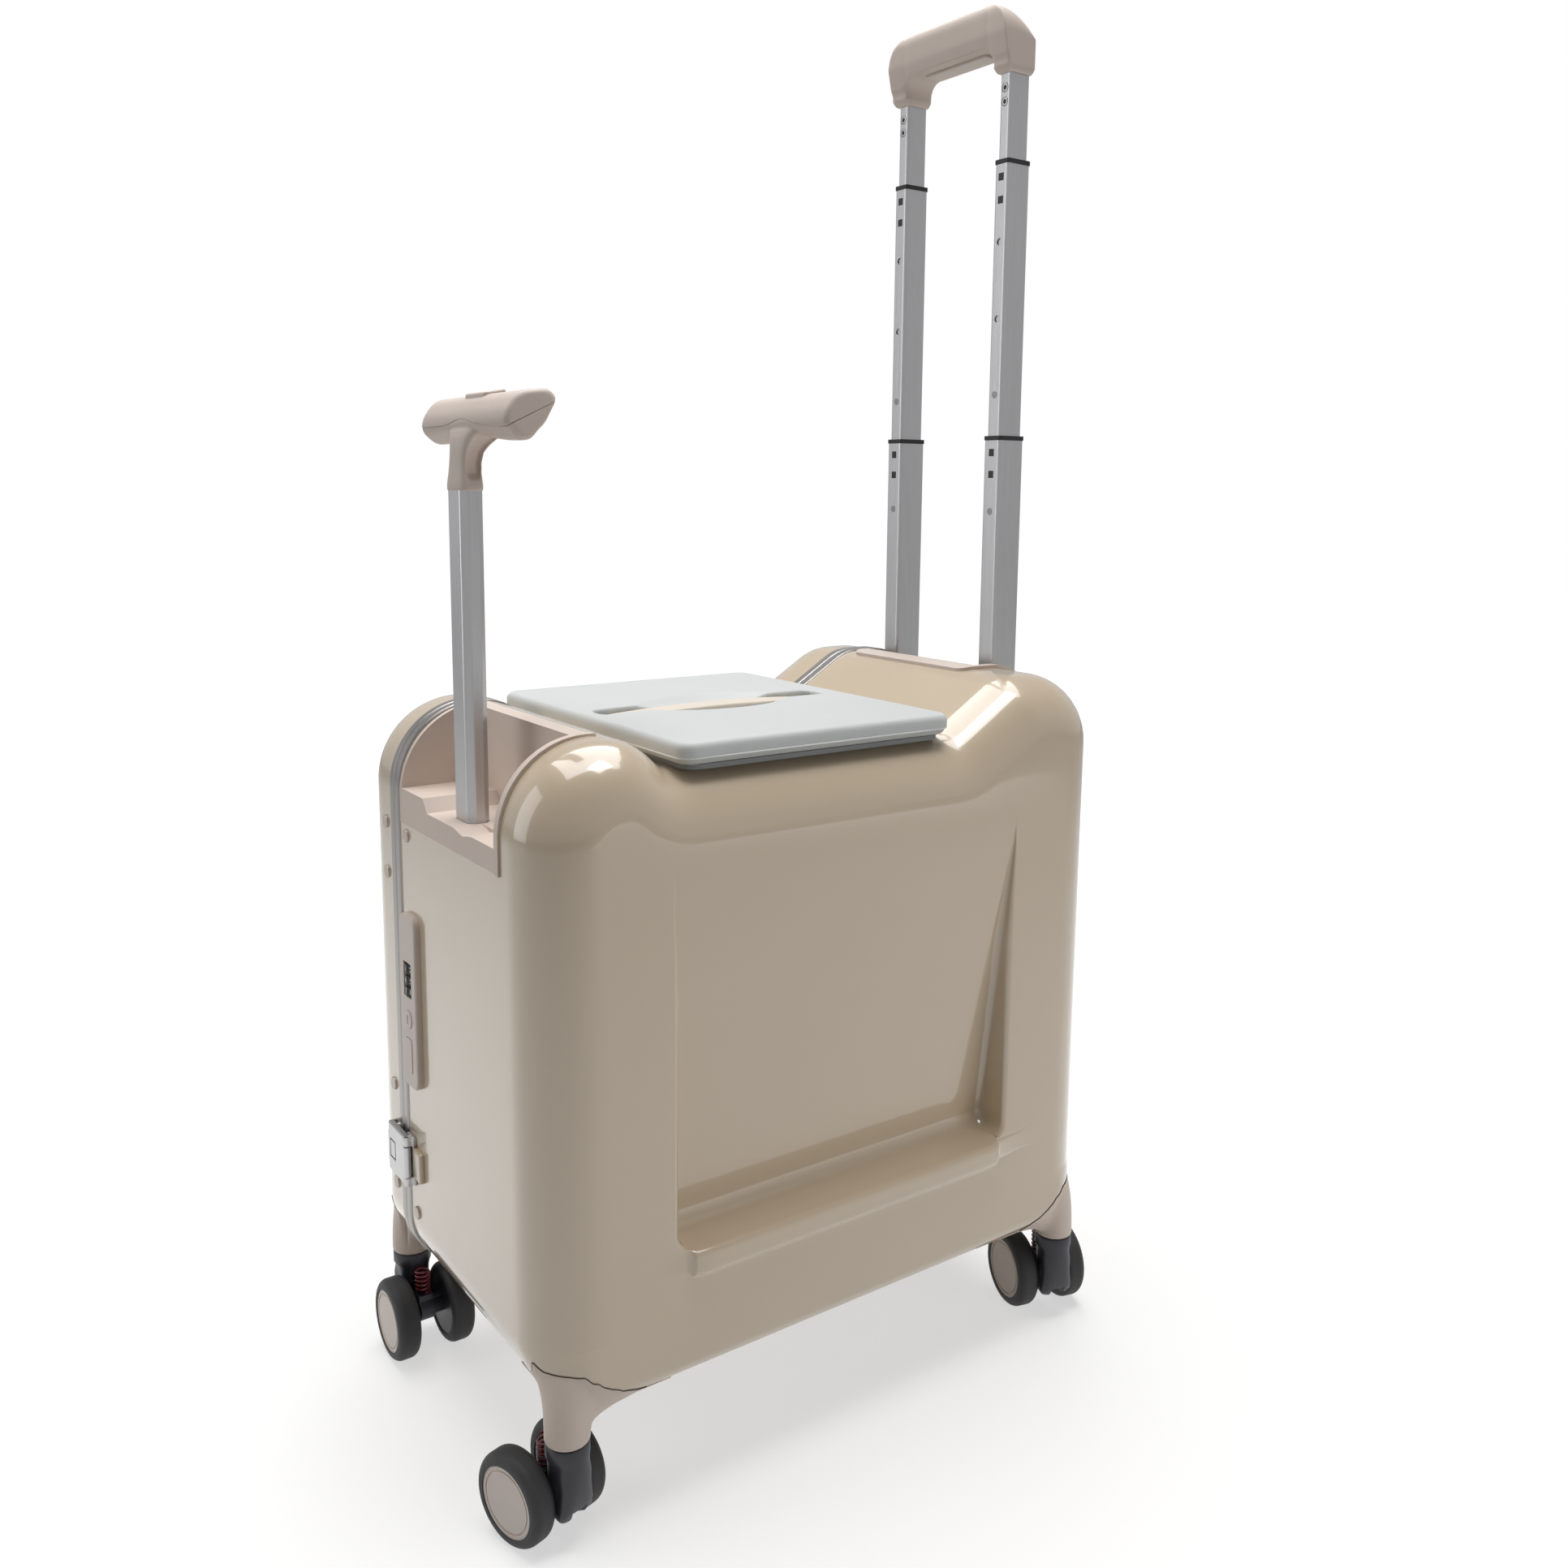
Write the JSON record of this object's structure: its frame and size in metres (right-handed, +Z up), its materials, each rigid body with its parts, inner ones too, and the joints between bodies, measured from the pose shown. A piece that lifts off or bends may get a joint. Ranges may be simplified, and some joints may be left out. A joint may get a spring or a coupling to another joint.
{
  "type": "ride-on suitcase",
  "caption": "Wheeled hard-shell suitcase a child can sit on, with a padded seat, side footrests, a sliding T handle, a telescoping trolley handle and sprung castors.",
  "frame": {"origin": "on the floor under the middle of the case", "axes": "+X forward, towards the child's T handle; +Y to the rider's left; +Z up"},
  "size_m": [0.4608, 0.28, 0.911],
  "materials": {
    "shell_gloss": "polished moulded shell",
    "trim_matte": "fine matte moulded plastic",
    "seat_skin": "soft satin skin over foam",
    "seat_tray": "matte moulded tray",
    "tube_aluminium": "satin anodised",
    "frame_aluminium": "brushed extrusion",
    "black_plastic": "black moulded plastic",
    "fork_plastic": "dark moulded nylon",
    "tyre_rubber": "dark grey soft tyre",
    "hub_plastic": "satin cap",
    "spring_steel": "dark red coated wire",
    "chrome_metal": "bright plated",
    "rivet_metal": "coated rivet head",
    "inner_tube": "plain drawn tube"
  },
  "bodies": {
    "case": {"main_shell": "shell_gloss", "main_frame": "frame_aluminium", "main_rivets": "rivet_metal", "front_well": "trim_matte", "trolley_bezel": "trim_matte", "guide_tubes": "inner_tube", "seat_base": "seat_tray", "seat_pad": "seat_skin", "main_legs": "trim_matte", "lock_housing": "trim_matte", "latch_base": "trim_matte", "hinge_main": "trim_matte"},
    "door": {"door_shell": "shell_gloss", "door_frame": "frame_aluminium", "door_rivets": "rivet_metal", "door_legs": "trim_matte", "latch_hook": "frame_aluminium", "hinge_door": "trim_matte"},
    "carry_handle": {"carry_handle": "seat_skin"},
    "t_handle": {"t_rod": "tube_aluminium", "t_grip_bottom": "trim_matte", "t_grip_top": "trim_matte"},
    "t_button": {"t_button": "trim_matte"},
    "trolley_lower": {"lower_tubes": "tube_aluminium", "lower_collars": "black_plastic", "lower_pins": "black_plastic"},
    "trolley_mid": {"mid_tubes": "tube_aluminium", "mid_collars": "black_plastic", "mid_pins": "black_plastic"},
    "trolley_top": {"top_tubes": "tube_aluminium", "top_rivets": "black_plastic", "trolley_grip": "trim_matte"},
    "trolley_trigger": {"trolley_trigger": "trim_matte"},
    "dial_1": {"dial_1": "black_plastic"},
    "dial_2": {"dial_2": "black_plastic"},
    "dial_3": {"dial_3": "black_plastic"},
    "key": {"key_cylinder": "chrome_metal"},
    "lock_button": {"lock_button": "trim_matte"},
    "latch": {"latch_lever": "frame_aluminium"},
    "front_left_swivel": {"front_left_yoke": "fork_plastic", "front_left_spring": "spring_steel"},
    "front_left_arm": {"front_left_arm": "fork_plastic"},
    "front_left_wheels": {"front_left_tyres": "tyre_rubber", "front_left_hubs": "hub_plastic"},
    "front_right_swivel": {"front_right_yoke": "fork_plastic", "front_right_spring": "spring_steel"},
    "front_right_arm": {"front_right_arm": "fork_plastic"},
    "front_right_wheels": {"front_right_tyres": "tyre_rubber", "front_right_hubs": "hub_plastic"},
    "rear_left_swivel": {"rear_left_yoke": "fork_plastic", "rear_left_spring": "spring_steel"},
    "rear_left_arm": {"rear_left_arm": "fork_plastic"},
    "rear_left_wheels": {"rear_left_tyres": "tyre_rubber", "rear_left_hubs": "hub_plastic"},
    "rear_right_swivel": {"rear_right_yoke": "fork_plastic", "rear_right_spring": "spring_steel"},
    "rear_right_arm": {"rear_right_arm": "fork_plastic"},
    "rear_right_wheels": {"rear_right_tyres": "tyre_rubber", "rear_right_hubs": "hub_plastic"}
  },
  "joints": [
    {"name": "door_hinge", "type": "hinge", "parent": "case", "child": "door", "pos_m": [-0.218, -0.0715, 0.265], "axis": [0, 0, -1], "range_deg": [0, 100]},
    {"name": "latch_hinge", "type": "hinge", "parent": "case", "child": "latch", "pos_m": [0.2172, -0.0559, 0.1595], "axis": [0, 0, 1], "range_deg": [0, 110]},
    {"name": "carry_handle_lift", "type": "slide", "parent": "case", "child": "carry_handle", "axis": [0, 0, 1], "range_m": [0, 0.019]},
    {"name": "t_handle_slide", "type": "slide", "parent": "case", "child": "t_handle", "axis": [0, 0, 1], "range_m": [-0.19, 0]},
    {"name": "t_button_push", "type": "slide", "parent": "t_handle", "child": "t_button", "axis": [0, 0, -1], "range_m": [0, 0.0025], "stiffness_N_per_m": 500, "springref_m": -0.002},
    {"name": "trolley_lower_slide", "type": "slide", "parent": "case", "child": "trolley_lower", "axis": [0, 0, 1], "range_m": [-0.204, 0]},
    {"name": "trolley_mid_slide", "type": "slide", "parent": "trolley_lower", "child": "trolley_mid", "axis": [0, 0, 1], "range_m": [-0.18, 0]},
    {"name": "trolley_top_slide", "type": "slide", "parent": "trolley_mid", "child": "trolley_top", "axis": [0, 0, 1], "range_m": [-0.0505, 0.101]},
    {"name": "trigger_squeeze", "type": "slide", "parent": "trolley_top", "child": "trolley_trigger", "axis": [0, 0, 1], "range_m": [0, 0.003], "stiffness_N_per_m": 600, "springref_m": -0.003},
    {"name": "dial_1_turn", "type": "hinge", "parent": "case", "child": "dial_1", "pos_m": [0.209, -0.049, 0.2758], "axis": [0, 0, 1], "continuous": true},
    {"name": "dial_2_turn", "type": "hinge", "parent": "case", "child": "dial_2", "pos_m": [0.209, -0.049, 0.283], "axis": [0, 0, 1], "continuous": true},
    {"name": "dial_3_turn", "type": "hinge", "parent": "case", "child": "dial_3", "pos_m": [0.209, -0.049, 0.2902], "axis": [0, 0, 1], "continuous": true},
    {"name": "key_turn", "type": "hinge", "parent": "case", "child": "key", "pos_m": [0.214, -0.049, 0.257], "axis": [1, 0, 0], "range_deg": [0, 90]},
    {"name": "lock_button_push", "type": "slide", "parent": "case", "child": "lock_button", "axis": [-1, 0, 0], "range_m": [0, 0.0016], "stiffness_N_per_m": 400, "springref_m": -0.002},
    {"name": "front_left_swivel", "type": "hinge", "parent": "case", "child": "front_left_swivel", "pos_m": [0.193, 0.12, 0.06], "axis": [0, 0, 1], "continuous": true},
    {"name": "front_left_suspension", "type": "hinge", "parent": "front_left_swivel", "child": "front_left_arm", "pos_m": [0.19274, 0.12097, 0.028], "axis": [-0.9659, -0.2588, 0], "range_deg": [0, 8], "stiffness_Nm_per_rad": 6, "springref_deg": -5.73, "deforming": ["front_left_spring"]},
    {"name": "front_left_spin", "type": "hinge", "parent": "front_left_arm", "child": "front_left_wheels", "pos_m": [0.19869, 0.09875, 0.027], "axis": [0.9659, 0.2588, 0], "continuous": true},
    {"name": "front_right_swivel", "type": "hinge", "parent": "door", "child": "front_right_swivel", "pos_m": [0.193, -0.12, 0.06], "axis": [0, 0, 1], "continuous": true},
    {"name": "front_right_suspension", "type": "hinge", "parent": "front_right_swivel", "child": "front_right_arm", "pos_m": [0.193, -0.121, 0.028], "axis": [1, 0, 0], "range_deg": [0, 8], "stiffness_Nm_per_rad": 6, "springref_deg": -5.73, "deforming": ["front_right_spring"]},
    {"name": "front_right_spin", "type": "hinge", "parent": "front_right_arm", "child": "front_right_wheels", "pos_m": [0.193, -0.098, 0.027], "axis": [-1, 0, 0], "continuous": true},
    {"name": "rear_left_swivel", "type": "hinge", "parent": "case", "child": "rear_left_swivel", "pos_m": [-0.193, 0.12, 0.06], "axis": [0, 0, 1], "continuous": true},
    {"name": "rear_left_suspension", "type": "hinge", "parent": "rear_left_swivel", "child": "rear_left_arm", "pos_m": [-0.19274, 0.12097, 0.028], "axis": [-0.9659, 0.2588, 0], "range_deg": [0, 8], "stiffness_Nm_per_rad": 6, "springref_deg": -5.73, "deforming": ["rear_left_spring"]},
    {"name": "rear_left_spin", "type": "hinge", "parent": "rear_left_arm", "child": "rear_left_wheels", "pos_m": [-0.19869, 0.09875, 0.027], "axis": [0.9659, -0.2588, 0], "continuous": true},
    {"name": "rear_right_swivel", "type": "hinge", "parent": "door", "child": "rear_right_swivel", "pos_m": [-0.193, -0.12, 0.06], "axis": [0, 0, 1], "continuous": true},
    {"name": "rear_right_suspension", "type": "hinge", "parent": "rear_right_swivel", "child": "rear_right_arm", "pos_m": [-0.19286, -0.12099, 0.028], "axis": [0.9903, 0.1392, 0], "range_deg": [0, 8], "stiffness_Nm_per_rad": 6, "springref_deg": -5.73, "deforming": ["rear_right_spring"]},
    {"name": "rear_right_spin", "type": "hinge", "parent": "rear_right_arm", "child": "rear_right_wheels", "pos_m": [-0.19606, -0.09821, 0.027], "axis": [-0.9903, -0.1392, 0], "continuous": true}
  ]
}
